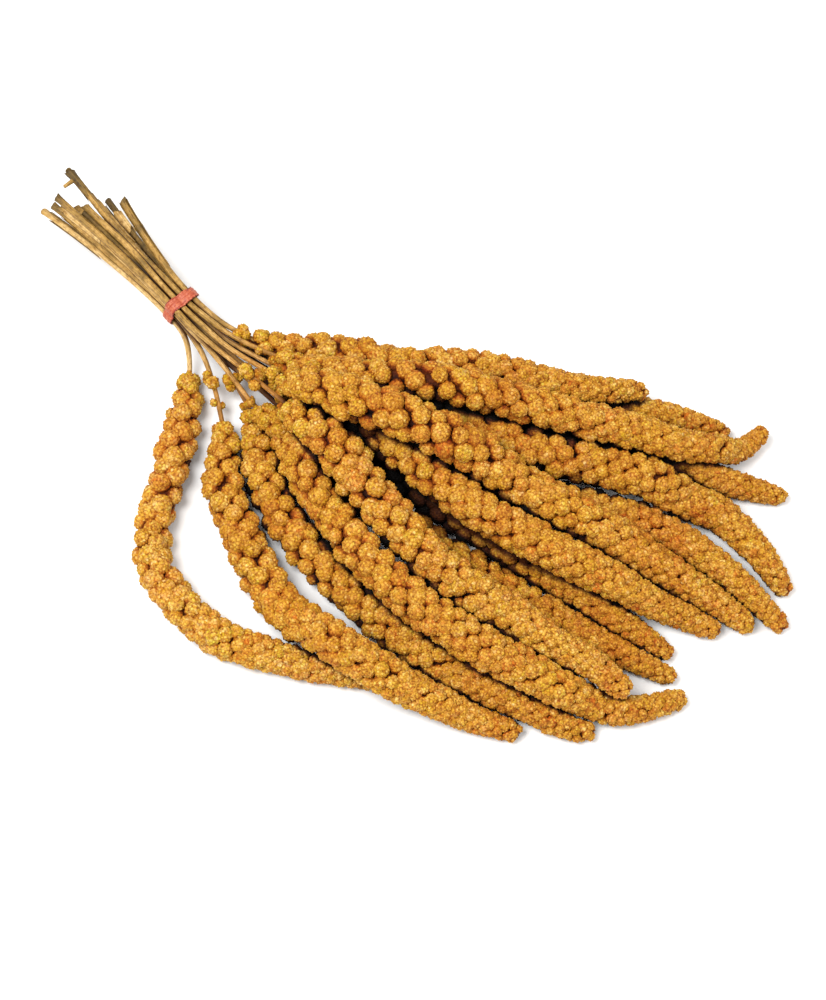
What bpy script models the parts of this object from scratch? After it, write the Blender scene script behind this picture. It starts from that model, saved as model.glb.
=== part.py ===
# A tied bunch of dried foxtail millet heads, lying on its side.
# Sizes are in millimetres here and become metres where the meshes are made. +Z is up, and +X runs
# along the bunch from the cut ends of the stalks to the tips of the heads.
# Each spray is a long head of seed lobes on a bare stalk. The stalks pass through a rubber band.
import math

import bmesh
import bpy
import numpy as np

METRE = 0.001
CLEARANCE = 0.3
FINE_STEPS = 900

STALK_RADIUS = 1.9
STALK_PITCH = 4.2
STALK_SIDES_LEVEL = 1
# The stalks' rings lie further apart with the distance from the tie.
RING_STEP = 7.0
RING_STEP_GROWTH = 0.15

TIE_HEIGHT = 26.0
TIE_BEARING = -14.0
TIE_HALF_LENGTH = 7.0
TIE_ROWS = 4
ROW_STAGGER = 0.25
# The height of a row of packed rods, as a share of their pitch.
ROW_RISE = math.sqrt(0.75)
# How many times wider and higher the bundle is at the cut ends than in the tie. The stalks bend
# outwards on the way, by this power of the distance from the tie.
SPLAY_SIDEWAYS = 2.1
SPLAY_UPWARD = 2.0
SPLAY_POWER = 1.5
# How far the whole fan of cut ends has swung to the side.
SPLAY_SWING = -1.5
RINGS_BEHIND_TIE = 4

BAND_WIDTH = 10.0
BAND_THICKNESS = 1.8
BAND_EDGE = 0.7
BAND_STEPS = 30

LOBES_ROUND = 6
LOBE_ROW_PITCH = 1.04
FIRST_ROW = 0.55
LAST_ROW_TO_TIP = 2.5
LOBE_TO_END = 0.8
LOBE_WANDER = 0.1
LOBE_UNEVENNESS = 0.07
VALLEY_AT_FOOT = 0.70
VALLEY_AT_TIP = 0.87
FIRST_SEED = 100

FOOT_THICKNESS = 0.5
FOOT_SWELL_LENGTH = 45.0
TAPER_START = 0.6
TAPER_POWER = 1.7
TIP_TAPER = 0.5
TIP_ROUNDING = 6.0
TIP_BLUNTNESS = 0.2

STATION_STEP = 5.0
ROOM_BETWEEN_HEADS = 0.5
SETTLING_ROUNDS = 420
SPREADING_LENGTH = 12.0
FREE_AFTER = 25.0
MOST_PUSHES = 2
OVERSTEP = 1.4
SINK_STEP = 0.12
# How strongly a spray is drawn back to its course in each round, in plan and in height.
LEAN_BACK = (0.12, 0.12, 0.02)
CALM_AFTER = 0.7
CALM_SHARE = 0.15
# How high a head's middle lies over the floor, as a share of its radius: its lowest lobes are pressed.
PRESSED = 0.92

# The middle of the whole bunch, seen from above, measured from the tie.
PLAN_CENTRE = (140.0, -12.7)

# Each spray as it lies, measured from the tie: the radius of its head, the row of stalks it has in
# the tie (0 is the lowest), the length of stalk behind the tie, and its head's course from foot to tip.
SPRAYS = [
    (10.6, 0, 88, [(85, 26, 6), (112, 40, 10), (147, 54, 10), (196, 72, 10), (265, 110, 8), (301, 122, 6)]),
    (11.0, 0, 103, [(104, -16, 6), (165, -31, 10), (232, -34, 10), (295, -30, 9), (356, -23, 6)]),
    (11.0, 0, 91, [(108, -6, 6), (165, -10, 10), (225, -13, 10), (284, -14, 9), (347, -13, 6)]),
    (11.2, 0, 109, [(26, -28, 7), (46, -64, 11), (62, -103, 11), (78, -130, 11), (103, -143, 11),
                    (138, -148, 10), (177, -136, 9), (226, -117, 7)]),
    (12.0, 1, 105, [(62, -43, 8), (108, -88, 13), (165, -116, 19), (238, -115, 22), (304, -97, 7)]),
    (12.0, 1, 95, [(73, -28, 8), (134, -68, 12), (200, -86, 12), (269, -88, 10), (336, -73, 7)]),
    (11.6, 1, 82, [(98, 6, 6), (170, 12, 10), (242, 28, 10), (317, 47, 9), (390, 37, 6)]),
    (11.4, 1, 86, [(112, 20, 6), (150, 33, 10), (215, 57, 10), (291, 84, 9), (349, 106, 6)]),
    (12.0, 2, 97, [(80, -27, 13), (154, -60, 21), (227, -78, 23), (301, -72, 17), (344, -55, 10),
                   (366, -29, 7)]),
    (12.0, 2, 85, [(78, -7, 16), (154, -5, 30), (223, -10, 32), (294, -3, 26), (361, 16, 10)]),
    (12.4, 2, 92, [(128, 16, 24), (170, 29, 29), (227, 48, 22), (304, 73, 11), (349, 69, 9),
                   (380, 56, 7)]),
    (12.9, 3, 100, [(92, -18, 28), (155, -37, 34), (216, -51, 34), (277, -50, 26), (342, -50, 24)]),
    (12.9, 3, 84, [(86, -9, 40), (162, 3, 50), (229, 14, 36), (301, 25, 22), (375, 27, 9)]),
    (11.2, 3, 110, [(72, 5, 29), (110, 13, 34), (140, 24, 35), (202, 50, 33), (269, 81, 28),
                    (308, 105, 18), (318, 133, 14)]),
    (11.4, 3, 72, [(49, 7, 28), (75, 18, 31), (108, 29, 33), (142, 48, 32), (176, 66, 30),
                   (211, 80, 27), (251, 109, 15)]),
]

bearing = math.radians(TIE_BEARING)
tie_along = np.array([math.cos(bearing), math.sin(bearing), 0.0])
tie_across = np.array([-math.sin(bearing), math.cos(bearing), 0.0])
upward = np.array([0.0, 0.0, 1.0])


def clear_scene():
    for thing in list(bpy.data.objects):
        bpy.data.objects.remove(thing)


def make_material(name, colour, roughness):
    material = bpy.data.materials.new(name)
    material.use_nodes = True
    shader = material.node_tree.nodes["Principled BSDF"]
    shader.inputs["Base Color"].default_value = (*colour, 1.0)
    shader.inputs["Roughness"].default_value = roughness
    return material


def distances_along(points):
    return np.r_[0.0, np.cumsum(np.linalg.norm(np.diff(points, axis=0), axis=1))]


# A smooth curve through the points. It starts in the given direction and ends with no bend.
def smooth_curve(points, heading, count):
    points = np.asarray(points, float)
    knots = distances_along(points)
    step = np.diff(knots)
    system = np.eye(len(points))
    right = np.zeros_like(points)
    system[0, :2] = 2 * step[0], step[0]
    right[0] = 6 * ((points[1] - points[0]) / step[0] - heading)
    for i in range(1, len(points) - 1):
        system[i, i - 1:i + 2] = step[i - 1], 2 * (step[i - 1] + step[i]), step[i]
        slope_after = (points[i + 1] - points[i]) / step[i]
        slope_before = (points[i] - points[i - 1]) / step[i - 1]
        right[i] = 6 * (slope_after - slope_before)
    bend = np.linalg.solve(system, right)
    at = np.linspace(0.0, knots[-1], count)
    span = np.clip(np.searchsorted(knots, at) - 1, 0, len(points) - 2)
    ahead = (knots[span + 1] - at)[:, None]
    behind = (at - knots[span])[:, None]
    width = step[span][:, None]
    curved = (bend[span] * ahead ** 3 + bend[span + 1] * behind ** 3) / (6 * width)
    straight = (points[span] / width - bend[span] * width / 6) * ahead
    return curved + straight + (points[span + 1] / width - bend[span + 1] * width / 6) * behind


# Half the thickness of a head at the distance from its foot: slim at the foot, full along its
# first half, then tapering to a rounded tip.
def head_radius(distance, length, full):
    swell = np.sin(np.clip(distance / FOOT_SWELL_LENGTH, 0, 1) * math.pi / 2)
    foot = FOOT_THICKNESS + (1 - FOOT_THICKNESS) * swell
    late = np.clip((distance / length - TAPER_START) / (1 - TAPER_START), 0, 1)
    taper = 1 - TIP_TAPER * late ** TAPER_POWER
    last = np.clip((distance - length + TIP_ROUNDING) / TIP_ROUNDING, 0, 1)
    return full * foot * taper * np.sqrt(np.clip(1 - last ** 2, TIP_BLUNTNESS ** 2, 1))


# Where each stalk passes through the tie: rows like packed rods, and in each row the stalks keep the
# order of their heads from right to left.
def tie_places():
    places = {}
    for row in range(TIE_ROWS):
        members = [i for i, spray in enumerate(SPRAYS) if spray[1] == row]
        members.sort(key=lambda i: math.atan2(SPRAYS[i][3][0][1], SPRAYS[i][3][0][0]))
        stagger = ROW_STAGGER if row % 2 else -ROW_STAGGER
        for place, i in enumerate(members):
            sideways = (place - (len(members) - 1) / 2 + stagger) * STALK_PITCH
            raised = (row - (TIE_ROWS - 1) / 2) * STALK_PITCH * ROW_RISE
            places[i] = (sideways, raised)
    return places


# The course of one spray in front of the tie, as evenly spaced stations.
def lay_spray(spray, place):
    full, _, behind, course = spray
    start = tie_across * place[0] + upward * (TIE_HEIGHT + place[1])
    front = start + tie_along * TIE_HALF_LENGTH
    curve = np.vstack([start[None], smooth_curve([front, *course], tie_along, FINE_STEPS)])
    along = distances_along(curve)
    foot = along[np.argmin(np.linalg.norm(curve - course[0], axis=1))]
    count = round(along[-1] / STATION_STEP) + 1
    stations = np.linspace(0.0, along[-1], count)
    points = np.stack([np.interp(stations, along, curve[:, k]) for k in range(3)], 1)
    thick = head_radius(stations - foot, along[-1] - foot, full)
    radius = np.where(stations < foot, STALK_RADIUS, thick)
    return {"points": points, "along": stations, "radius": radius, "foot": foot, "full": full,
            "behind": behind, "place": place}


# The least distance that every two stations keep. Stalks still side by side in the tie are left
# alone, and stations are a step apart, so stalks that cross keep a little more.
def least_distances(strands, radius, along):
    owner = np.concatenate([np.full(len(s["along"]), i) for i, s in enumerate(strands)])
    bare = radius <= STALK_RADIUS
    least = radius[:, None] + radius[None] + ROOM_BETWEEN_HEADS
    crossing = math.hypot(STALK_PITCH, STATION_STEP / 2)
    least[bare[:, None] & bare[None]] = crossing
    in_tie = along < TIE_HALF_LENGTH * 2
    least[in_tie[:, None] & in_tie[None]] = 0.0
    least[owner[:, None] == owner[None]] = 0.0
    return least


# Makes room between the sprays. In each round the stations that are too close move apart, the heads
# sink a little, all lean back to their course, and each move is spread smoothly along its spray. In
# the last rounds they hardly sink or lean, and mostly part.
def make_room(strands):
    points = np.concatenate([s["points"] for s in strands])
    course = points.copy()
    radius = np.concatenate([s["radius"] for s in strands])
    along = np.concatenate([s["along"] for s in strands])
    least = least_distances(strands, radius, along)
    freedom = np.clip((along - TIE_HALF_LENGTH) / FREE_AFTER, 0, 1)[:, None]
    sinking = np.where(radius > STALK_RADIUS, SINK_STEP, 0.0)
    ends = np.cumsum([0] + [len(s["along"]) for s in strands])
    spans = [slice(a, b) for a, b in zip(ends[:-1], ends[1:], strict=True)]
    spread = []
    for span in spans:
        apart = (along[span][:, None] - along[span][None]) / SPREADING_LENGTH
        weight = np.exp(-0.5 * apart ** 2)
        spread.append(weight / weight.sum(1)[:, None])
    for step in range(SETTLING_ROUNDS):
        strength = CALM_SHARE if step > SETTLING_ROUNDS * CALM_AFTER else 1.0
        square = (points ** 2).sum(1)
        apart = square[:, None] + square[None] - 2 * points @ points.T
        one, other = np.nonzero(apart < least ** 2)
        distance = np.sqrt(np.maximum(apart[one, other], 1e-6))
        share = (least[one, other] - distance) / (2 * distance)
        move = np.zeros_like(points)
        np.add.at(move, one, (points[one] - points[other]) * share[:, None])
        touching = np.bincount(one, minlength=len(points))
        move *= (np.minimum(touching, MOST_PUSHES) / np.maximum(touching, 1))[:, None]
        move[:, 2] += np.clip(PRESSED * radius - points[:, 2] - move[:, 2], 0, None)
        move[:, 2] -= sinking * strength
        move += (course - points) * LEAN_BACK * strength
        for span, weight in zip(spans, spread, strict=True):
            points[span] += OVERSTEP * (weight @ move[span]) * freedom[span]
    for strand, span in zip(strands, spans, strict=True):
        fine = smooth_curve(points[span], tie_along, FINE_STEPS)
        settled = distances_along(points[span])
        strand["foot"] = np.interp(strand["foot"], along[span], settled)
        strand["points"] = fine
        strand["along"] = distances_along(fine)
    square = (points ** 2).sum(1)
    apart = np.sqrt(np.maximum(square[:, None] + square[None] - 2 * points @ points.T, 0))
    print("tightest place", round(float((apart - least).min()), 2))


def point_at(strand, distance):
    return np.stack([np.interp(distance, strand["along"], strand["points"][:, k]) for k in range(3)], -1)


# Two directions across the course at each of its points, carried along it without twisting.
def carried_frames(points):
    ahead = np.gradient(points, axis=0)
    ahead /= np.linalg.norm(ahead, axis=1)[:, None]
    side = np.cross(upward, ahead[0])
    sides = []
    for direction in ahead:
        side = side - direction * (side @ direction)
        side = side / np.linalg.norm(side)
        sides.append(side)
    sides = np.array(sides)
    return sides, np.cross(ahead, sides)


# Triangles between rows of lobe tops, each row turned by half a lobe, with a pole at either end.
def lobe_net(rows):
    n = LOBES_ROUND
    foot = rows * n
    tip = foot + 1
    net = []
    for j in range(n):
        net.append((foot, (j + 1) % n, j))
    for k in range(rows - 1):
        a, b = k * n, (k + 1) * n
        for j in range(n):
            after = (j + 1) % n
            if k % 2 == 0:
                net.append((a + j, a + after, b + j))
                net.append((b + j, a + after, b + after))
            else:
                net.append((a + j, a + after, b + after))
                net.append((a + j, b + after, b + j))
    last = (rows - 1) * n
    for j in range(n):
        net.append((last + j, last + (j + 1) % n, tip))
    return net


# The skin of a head: each lobe is a low pyramid, its top on the head's outline and its foot a ring
# of valleys, one in the middle of every triangle of the net of tops.
def head_mesh(strand, seed):
    draw = np.random.default_rng(seed)
    start = strand["foot"]
    length = strand["along"][-1] - start
    rows = []
    at = FIRST_ROW * head_radius(0.0, length, strand["full"])
    while at < length - LAST_ROW_TO_TIP:
        rows.append(at)
        at += LOBE_ROW_PITCH * float(head_radius(at, length, strand["full"]))
    fine = np.linspace(0.0, length, FINE_STEPS)
    centre = point_at(strand, start + fine)
    side, other = carried_frames(centre)
    tops = []
    turn = draw.uniform(0, 2 * math.pi)
    for k, row in enumerate(rows):
        pitch = LOBE_ROW_PITCH * float(head_radius(row, length, strand["full"]))
        for j in range(LOBES_ROUND):
            s = row + draw.uniform(-LOBE_WANDER, LOBE_WANDER) * pitch
            s = np.clip(s, LOBE_TO_END, length - LOBE_TO_END)
            wander = draw.uniform(-LOBE_WANDER, LOBE_WANDER)
            angle = turn + (j + 0.5 * (k % 2) + wander) * 2 * math.pi / LOBES_ROUND
            r = float(head_radius(s, length, strand["full"])) * (1 - LOBE_UNEVENNESS * draw.random())
            axis = [np.interp(s, fine, centre[:, i]) for i in range(3)]
            u = np.array([np.interp(s, fine, side[:, i]) for i in range(3)])
            v = np.array([np.interp(s, fine, other[:, i]) for i in range(3)])
            tops.append(np.array(axis) + (u * math.cos(angle) + v * math.sin(angle)) * r)
    tops.append(centre[0])
    tops.append(centre[-1])
    tops = np.array(tops)
    net = np.array(lobe_net(len(rows)))
    middle = tops[net].mean(axis=1)
    nearest = np.argmin(np.linalg.norm(middle[:, None] - centre[None], axis=2), axis=1)
    depth = VALLEY_AT_FOOT + (VALLEY_AT_TIP - VALLEY_AT_FOOT) * fine[nearest] / length
    valleys = centre[nearest] + (middle - centre[nearest]) * depth[:, None]
    facets = []
    edges = {}
    for f, triangle in enumerate(net):
        for i in range(3):
            a, b = triangle[i], triangle[(i + 1) % 3]
            edges[(a, b)] = f
    for (a, b), f in edges.items():
        across = edges[(b, a)]
        facets.append((a, len(tops) + across, len(tops) + f))
    return np.vstack([tops, valleys]), facets


def new_object(name, mesh, material):
    mesh.materials.append(material)
    thing = bpy.data.objects.new(name, mesh)
    bpy.context.scene.collection.objects.link(thing)
    return thing


def placed(points):
    return (np.asarray(points) - np.array([*PLAN_CENTRE, 0.0])) * METRE


# A head, with whatever of its lobes would pass through the floor cut flat.
def make_head(name, strand, seed, material):
    corners, facets = head_mesh(strand, seed)
    mesh = bpy.data.meshes.new(name)
    mesh.from_pydata(placed(corners).tolist(), [], facets)
    shape = bmesh.new()
    shape.from_mesh(mesh)
    everything = shape.verts[:] + shape.edges[:] + shape.faces[:]
    bmesh.ops.bisect_plane(shape, geom=everything, plane_co=(0, 0, 0), plane_no=(0, 0, -1),
                           clear_outer=True, dist=1e-7)
    open_edges = [edge for edge in shape.edges if edge.is_boundary]
    if open_edges:
        bmesh.ops.holes_fill(shape, edges=open_edges)
    bmesh.ops.recalc_face_normals(shape, faces=shape.faces[:])
    shape.to_mesh(mesh)
    shape.free()
    return new_object(name, mesh, material)


# A stalk: a round rod from its cut end, straight through the tie and on to the foot of its head.
def make_stalk(name, strand, material):
    sideways, raised = strand["place"]
    start = tie_across * sideways + upward * (TIE_HEIGHT + raised)
    splay = (tie_across * (sideways * (SPLAY_SIDEWAYS - 1) + SPLAY_SWING)
             + upward * raised * (SPLAY_UPWARD - 1))
    points = []
    for share in np.linspace(1.0, 0.0, RINGS_BEHIND_TIE):
        behind = TIE_HALF_LENGTH + (strand["behind"] - TIE_HALF_LENGTH) * share
        points.append(start - tie_along * behind + splay * share ** SPLAY_POWER)
    end = strand["foot"] - CLEARANCE
    distances = [0.0, TIE_HALF_LENGTH]
    while distances[-1] < end:
        distances.append(distances[-1] + RING_STEP + RING_STEP_GROWTH * distances[-1])
    shrink = (end - TIE_HALF_LENGTH) / (distances[-1] - TIE_HALF_LENGTH)
    for distance in distances:
        run = TIE_HALF_LENGTH + (distance - TIE_HALF_LENGTH) * shrink
        points.append(point_at(strand, distance if distance == 0.0 else run))
    curve = bpy.data.curves.new(name, "CURVE")
    curve.dimensions = "3D"
    curve.bevel_depth = STALK_RADIUS * METRE
    curve.bevel_resolution = STALK_SIDES_LEVEL
    curve.use_fill_caps = True
    line = curve.splines.new("POLY")
    line.points.add(len(points) - 1)
    for spot, point in zip(line.points, placed(points), strict=True):
        spot.co = (*point, 1.0)
    return new_object(name, curve, material)


# The outline that a band pulled tight round the stalks takes, at a distance from them.
def band_outline(places, outward):
    centres = np.array(list(places.values()))
    angles = np.arange(BAND_STEPS) * 2 * math.pi / BAND_STEPS
    ways = np.stack([np.cos(angles), np.sin(angles)], 1)
    held = centres[np.argmax(centres @ ways.T, axis=0)]
    return held + ways * (STALK_RADIUS + outward)


# The rubber band: its section, with worn edges, carried round the outline.
def make_band(places, material):
    half = BAND_WIDTH / 2
    outer = CLEARANCE + BAND_THICKNESS
    section = [(-half, CLEARANCE), (half, CLEARANCE), (half, outer - BAND_EDGE),
               (half - BAND_EDGE, outer), (BAND_EDGE - half, outer), (-half, outer - BAND_EDGE)]
    rings = []
    for along, outward in section:
        ring = band_outline(places, outward)
        rings.append(tie_along * along + tie_across * ring[:, :1] + upward * (TIE_HEIGHT + ring[:, 1:]))
    facets = []
    for k in range(len(section)):
        after = (k + 1) % len(section)
        for j in range(BAND_STEPS):
            beside = (j + 1) % BAND_STEPS
            facets.append([k * BAND_STEPS + j, k * BAND_STEPS + beside,
                           after * BAND_STEPS + beside, after * BAND_STEPS + j])
    mesh = bpy.data.meshes.new("rubber_band")
    mesh.from_pydata(placed(np.vstack(rings)).tolist(), [], facets)
    shape = bmesh.new()
    shape.from_mesh(mesh)
    bmesh.ops.recalc_face_normals(shape, faces=shape.faces[:])
    shape.to_mesh(mesh)
    shape.free()
    return new_object("rubber_band", mesh, material)


def main():
    clear_scene()
    seeds = make_material("seed_heads", (0.62, 0.31, 0.05), 0.75)
    straw = make_material("straw_stalks", (0.55, 0.38, 0.16), 0.6)
    rubber = make_material("rubber_band", (0.75, 0.16, 0.09), 0.55)
    places = tie_places()
    strands = [lay_spray(spray, places[i]) for i, spray in enumerate(SPRAYS)]
    make_room(strands)
    for i, strand in enumerate(strands):
        make_head(f"millet_head_{i + 1:02d}", strand, FIRST_SEED + i, seeds)
        make_stalk(f"stalk_{i + 1:02d}", strand, straw)
    make_band(places, rubber)


main()
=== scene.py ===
import math

import bmesh
import bpy
import numpy as np
from mathutils import Matrix, Vector


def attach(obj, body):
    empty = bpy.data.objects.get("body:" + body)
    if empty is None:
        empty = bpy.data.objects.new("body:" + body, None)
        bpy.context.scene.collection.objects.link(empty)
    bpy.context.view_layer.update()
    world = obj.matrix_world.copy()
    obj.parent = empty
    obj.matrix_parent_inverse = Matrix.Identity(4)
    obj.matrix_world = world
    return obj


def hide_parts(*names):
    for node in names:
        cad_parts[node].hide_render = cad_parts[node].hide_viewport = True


# A tied bunch of dried foxtail millet heads, lying on its side. Sizes are in millimetres, measured
# from the tie, and become metres in the part's frame where the meshes are made.
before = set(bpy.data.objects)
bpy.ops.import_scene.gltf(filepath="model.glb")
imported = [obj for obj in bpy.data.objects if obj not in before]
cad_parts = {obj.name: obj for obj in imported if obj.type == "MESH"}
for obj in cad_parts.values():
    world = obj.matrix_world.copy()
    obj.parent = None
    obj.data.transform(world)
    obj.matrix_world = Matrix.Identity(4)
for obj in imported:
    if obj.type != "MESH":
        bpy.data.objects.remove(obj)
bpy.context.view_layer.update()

metre = 0.001
planCentre = np.array([140.0, -12.7, 0.0])
up = np.array([0.0, 0.0, 1.0])
fullTurn = 2 * math.pi
goldenAngle = math.pi * (3 - math.sqrt(5))
closePacking = 0.866  # the area each of closely packed discs takes up, by their spacing squared

tie = {
    "height": 26.0,
    "bearing": math.radians(-14.0),
    "halfLength": 7.0,
    "rows": 4,
    "rowStagger": 0.25,
    "stalkRadius": 1.9,
    "stalkPitch": 4.2,
    "splaySideways": 2.1,
    "splayUpward": 2.0,
    "splayPower": 1.5,
    "splaySwing": -1.5,
}
tieAlong = np.array([math.cos(tie["bearing"]), math.sin(tie["bearing"]), 0.0])
tieAcross = np.array([-math.sin(tie["bearing"]), math.cos(tie["bearing"]), 0.0])

# Each spray as it lies: the radius of its head, its row in the tie, the length of stalk behind the
# tie, and its head's course from foot to tip. The solids are laid from the same table.
sprays = [
    (10.6, 0, 88, [(85, 26, 6), (112, 40, 10), (147, 54, 10), (196, 72, 10), (265, 110, 8), (301, 122, 6)]),
    (11.0, 0, 103, [(104, -16, 6), (165, -31, 10), (232, -34, 10), (295, -30, 9), (356, -23, 6)]),
    (11.0, 0, 91, [(108, -6, 6), (165, -10, 10), (225, -13, 10), (284, -14, 9), (347, -13, 6)]),
    (11.2, 0, 109, [(26, -28, 7), (46, -64, 11), (62, -103, 11), (78, -130, 11), (103, -143, 11),
                    (138, -148, 10), (177, -136, 9), (226, -117, 7)]),
    (12.0, 1, 105, [(62, -43, 8), (108, -88, 13), (165, -116, 19), (238, -115, 22), (304, -97, 7)]),
    (12.0, 1, 95, [(73, -28, 8), (134, -68, 12), (200, -86, 12), (269, -88, 10), (336, -73, 7)]),
    (11.6, 1, 82, [(98, 6, 6), (170, 12, 10), (242, 28, 10), (317, 47, 9), (390, 37, 6)]),
    (11.4, 1, 86, [(112, 20, 6), (150, 33, 10), (215, 57, 10), (291, 84, 9), (349, 106, 6)]),
    (12.0, 2, 97, [(80, -27, 13), (154, -60, 21), (227, -78, 23), (301, -72, 17), (344, -55, 10),
                   (366, -29, 7)]),
    (12.0, 2, 85, [(78, -7, 16), (154, -5, 30), (223, -10, 32), (294, -3, 26), (361, 16, 10)]),
    (12.4, 2, 92, [(128, 16, 24), (170, 29, 29), (227, 48, 22), (304, 73, 11), (349, 69, 9),
                   (380, 56, 7)]),
    (12.9, 3, 100, [(92, -18, 28), (155, -37, 34), (216, -51, 34), (277, -50, 26), (342, -50, 24)]),
    (12.9, 3, 84, [(86, -9, 40), (162, 3, 50), (229, 14, 36), (301, 25, 22), (375, 27, 9)]),
    (11.2, 3, 110, [(72, 5, 29), (110, 13, 34), (140, 24, 35), (202, 50, 33), (269, 81, 28),
                    (308, 105, 18), (318, 133, 14)]),
    (11.4, 3, 72, [(49, 7, 28), (75, 18, 31), (108, 29, 33), (142, 48, 32), (176, 66, 30),
                   (211, 80, 27), (251, 109, 15)]),
]

outline = {  # a head's thickness along it, as the solids have it
    "footThickness": 0.5,
    "swellLength": 45.0,
    "taperStart": 0.6,
    "taperPower": 1.7,
    "tipTaper": 0.5,
    "tipRounding": 6.0,
    "tipBluntness": 0.2,
}

settling = {
    "stationStep": 5.0,
    "room": 0.5,
    "rounds": 420,
    "spreading": 12.0,
    "freeAfter": 25.0,
    "mostPushes": 2,
    "overstep": 1.4,
    "sink": 0.12,
    "leanBack": (0.12, 0.12, 0.02),
    "calmAfter": 0.7,
    "calmShare": 0.15,
    "pressed": 0.92,
    "fineSteps": 900,
}


# The distance run along a polyline at each of its points.
def distancesAlong(points):
    return np.r_[0.0, np.cumsum(np.linalg.norm(np.diff(points, axis=0), axis=1))]


# Values or points read off at distances along a polyline.
def readAt(distance, along, values):
    if values.ndim == 1:
        return np.interp(distance, along, values)
    return np.stack([np.interp(distance, along, values[:, k]) for k in range(values.shape[1])], -1)


# From 0 to 1 along a cubic that is level at both ends.
def smoothStep(x):
    x = np.clip(x, 0, 1)
    return x * x * (3 - 2 * x)


# A natural cubic spline through the points whose first slope is the given heading.
def smoothCurve(points, heading, count):
    points = np.asarray(points, float)
    knots = distancesAlong(points)
    step = np.diff(knots)
    system = np.eye(len(points))
    right = np.zeros_like(points)
    system[0, :2] = 2 * step[0], step[0]
    right[0] = 6 * ((points[1] - points[0]) / step[0] - heading)
    for i in range(1, len(points) - 1):
        system[i, i - 1:i + 2] = step[i - 1], 2 * (step[i - 1] + step[i]), step[i]
        slopeAfter = (points[i + 1] - points[i]) / step[i]
        slopeBefore = (points[i] - points[i - 1]) / step[i - 1]
        right[i] = 6 * (slopeAfter - slopeBefore)
    bend = np.linalg.solve(system, right)
    at = np.linspace(0.0, knots[-1], count)
    span = np.clip(np.searchsorted(knots, at) - 1, 0, len(points) - 2)
    ahead = (knots[span + 1] - at)[:, None]
    behind = (at - knots[span])[:, None]
    width = step[span][:, None]
    curved = (bend[span] * ahead ** 3 + bend[span + 1] * behind ** 3) / (6 * width)
    straight = (points[span] / width - bend[span] * width / 6) * ahead
    return curved + straight + (points[span + 1] / width - bend[span + 1] * width / 6) * behind


# Half a head's thickness: a quarter sine up from the slim foot, then a power law down to the tip,
# closed by a quarter circle.
def headRadius(distance, length, full):
    swell = np.sin(np.clip(distance / outline["swellLength"], 0, 1) * math.pi / 2)
    foot = outline["footThickness"] + (1 - outline["footThickness"]) * swell
    late = np.clip((distance / length - outline["taperStart"]) / (1 - outline["taperStart"]), 0, 1)
    taper = 1 - outline["tipTaper"] * late ** outline["taperPower"]
    last = np.clip((distance - length + outline["tipRounding"]) / outline["tipRounding"], 0, 1)
    return full * foot * taper * np.sqrt(np.clip(1 - last ** 2, outline["tipBluntness"] ** 2, 1))


# Where the stalks cross the tie: in rows like stacked pipes, in the order in which their heads fan
# out, with every other row set aside.
def tiePlaces():
    places = {}
    for row in range(tie["rows"]):
        members = [i for i, spray in enumerate(sprays) if spray[1] == row]
        members.sort(key=lambda i: math.atan2(sprays[i][3][0][1], sprays[i][3][0][0]))
        stagger = tie["rowStagger"] if row % 2 else -tie["rowStagger"]
        for place, i in enumerate(members):
            sideways = (place - (len(members) - 1) / 2 + stagger) * tie["stalkPitch"]
            raised = (row - (tie["rows"] - 1) / 2) * tie["stalkPitch"] * math.sqrt(0.75)
            places[i] = (sideways, raised)
    return places


# The course of one spray in front of the tie, as evenly spaced stations.
def laySpray(spray, place):
    full, _, behind, course = spray
    start = tieAcross * place[0] + up * (tie["height"] + place[1])
    front = start + tieAlong * tie["halfLength"]
    curve = smoothCurve([front, *course], tieAlong, settling["fineSteps"])
    curve = np.vstack([start[None], curve])
    along = distancesAlong(curve)
    foot = along[np.argmin(np.linalg.norm(curve - course[0], axis=1))]
    stations = np.linspace(0.0, along[-1], round(along[-1] / settling["stationStep"]) + 1)
    thick = headRadius(stations - foot, along[-1] - foot, full)
    return {"points": readAt(stations, along, curve), "along": stations, "foot": foot, "full": full,
            "radius": np.where(stations < foot, tie["stalkRadius"], thick),
            "behind": behind, "place": place}


# How far apart any two stations stay: their radii and some room, less between bare stalks, and
# nothing within the tie or along the same spray.
def leastDistances(strands, radius, along):
    owner = np.concatenate([np.full(len(s["along"]), i) for i, s in enumerate(strands)])
    bare = radius <= tie["stalkRadius"]
    least = radius[:, None] + radius[None] + settling["room"]
    least[bare[:, None] & bare[None]] = math.hypot(tie["stalkPitch"], settling["stationStep"] / 2)
    inTie = along < tie["halfLength"] * 2
    least[inTie[:, None] & inTie[None]] = 0.0
    least[owner[:, None] == owner[None]] = 0.0
    return least


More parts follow.
